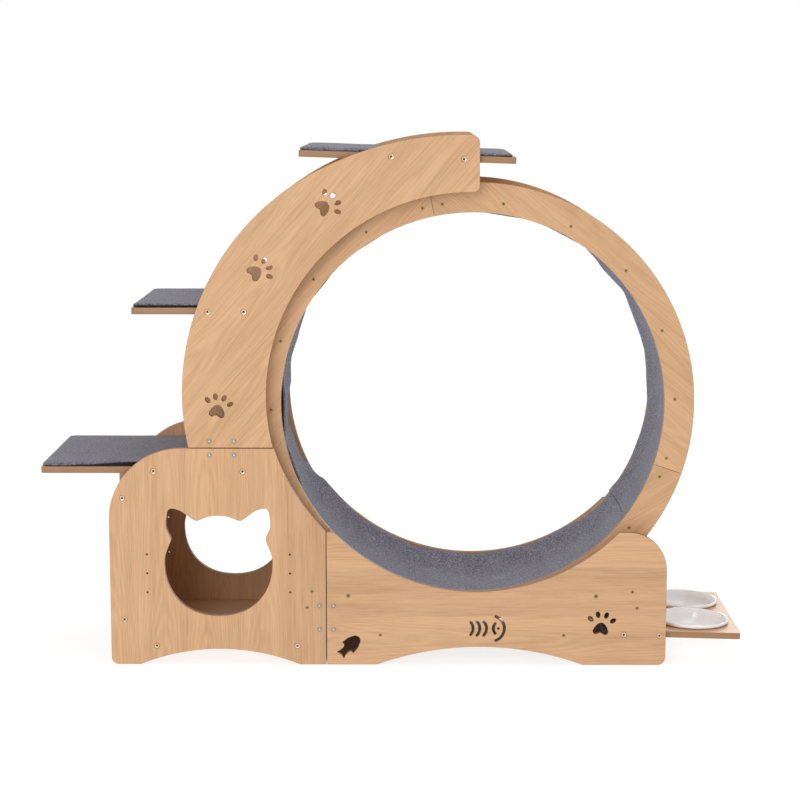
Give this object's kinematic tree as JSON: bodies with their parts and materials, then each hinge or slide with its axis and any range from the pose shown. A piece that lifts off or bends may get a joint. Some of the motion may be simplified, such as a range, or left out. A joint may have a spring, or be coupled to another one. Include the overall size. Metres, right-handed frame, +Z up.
{
  "type": "cat exercise wheel",
  "caption": "Wooden cat exercise wheel on rollers between two frames, with a cat-head house, padded shelves, paw and fish cut-outs and a feeding shelf with bowls.",
  "frame": {"origin": "middle of the bounding box on the floor", "axes": "+X along the frames from the house to the feeding shelf, +Y from the front frame to the back frame, +Z up"},
  "size_m": [1.6509, 0.439, 1.2459],
  "materials": {
    "beech_panel": "light beech laminate, satin",
    "beech_board": "light beech laminate, satin",
    "felt": "heathered blue-grey felt, matt",
    "gilt_screw": "gilt, polished",
    "yellow_zinc": "yellow zinc plate",
    "zinc": "zinc plate, satin",
    "bronze": "plain bearing bronze",
    "roller": "dark moulded nylon",
    "ceramic": "white, glossy"
  },
  "bodies": {
    "stand": {"front_house_panel": "beech_panel", "back_house_panel": "beech_panel", "front_base_panel": "beech_panel", "back_base_panel": "beech_panel", "front_arch_panel": "beech_panel", "back_arch_panel": "beech_panel", "house_floor": "beech_board", "house_left_wall": "beech_board", "lower_shelf": "beech_board", "mid_shelf": "beech_board", "top_shelf": "beech_board", "bowl_shelf": "beech_board", "lower_shelf_pad": "felt", "mid_shelf_pad": "felt", "top_shelf_pad": "felt", "left_stretcher": "beech_board", "right_stretcher": "beech_board", "left_cross_rail": "beech_board", "right_cross_rail": "beech_board", "splice_plates": "zinc", "splice_bolts": "zinc", "splice_nuts": "zinc", "board_screws": "gilt_screw", "stretcher_and_rail_screws": "yellow_zinc", "roller_axles": "yellow_zinc", "axle_spacers": "zinc", "roller_bushes": "bronze", "axle_nuts": "zinc"},
    "wheel": {"front_ring_segment_1": "beech_panel", "front_ring_segment_2": "beech_panel", "front_ring_segment_3": "beech_panel", "back_ring_segment_1": "beech_panel", "back_ring_segment_2": "beech_panel", "back_ring_segment_3": "beech_panel", "track_slat_1": "beech_board", "track_slat_2": "beech_board", "track_slat_3": "beech_board", "track_slat_4": "beech_board", "track_slat_5": "beech_board", "track_slat_6": "beech_board", "track_slat_7": "beech_board", "track_slat_8": "beech_board", "track_slat_9": "beech_board", "track_slat_10": "beech_board", "track_slat_11": "beech_board", "track_slat_12": "beech_board", "track_slat_13": "beech_board", "track_slat_14": "beech_board", "track_slat_15": "beech_board", "track_slat_16": "beech_board", "track_slat_17": "beech_board", "track_slat_18": "beech_board", "running_mat": "felt", "ring_screws": "yellow_zinc"},
    "roller_front_left": {"roller_front_left": "roller"},
    "roller_front_right": {"roller_front_right": "roller"},
    "roller_back_left": {"roller_back_left": "roller"},
    "roller_back_right": {"roller_back_right": "roller"},
    "front_bowl": {"front_bowl": "ceramic"},
    "back_bowl": {"back_bowl": "ceramic"}
  },
  "joints": [
    {"name": "wheel_spin", "type": "hinge", "parent": "stand", "child": "wheel", "pos_m": [0.188, 0, 0.617], "axis": [0, 1, 0], "continuous": true},
    {"name": "roller_front_left_spin", "type": "hinge", "parent": "stand", "child": "roller_front_left", "pos_m": [-0.104, -0.1635, 0.16716], "axis": [0, 1, 0], "continuous": true},
    {"name": "roller_front_right_spin", "type": "hinge", "parent": "stand", "child": "roller_front_right", "pos_m": [0.48, -0.1635, 0.16716], "axis": [0, 1, 0], "continuous": true},
    {"name": "roller_back_left_spin", "type": "hinge", "parent": "stand", "child": "roller_back_left", "pos_m": [-0.104, 0.1635, 0.16716], "axis": [0, 1, 0], "continuous": true},
    {"name": "roller_back_right_spin", "type": "hinge", "parent": "stand", "child": "roller_back_right", "pos_m": [0.48, 0.1635, 0.16716], "axis": [0, 1, 0], "continuous": true},
    {"name": "front_bowl_lift", "type": "slide", "parent": "stand", "child": "front_bowl", "axis": [0.0262, 0, 0.9997], "range_m": [0, 0.15]},
    {"name": "back_bowl_lift", "type": "slide", "parent": "stand", "child": "back_bowl", "axis": [0.0262, 0, 0.9997], "range_m": [0, 0.15]}
  ],
  "couplings": [
    {"joint": "roller_front_left_spin", "follows": "wheel_spin", "ratio": -32.5},
    {"joint": "roller_front_right_spin", "follows": "wheel_spin", "ratio": -32.5},
    {"joint": "roller_back_left_spin", "follows": "wheel_spin", "ratio": -32.5},
    {"joint": "roller_back_right_spin", "follows": "wheel_spin", "ratio": -32.5}
  ]
}
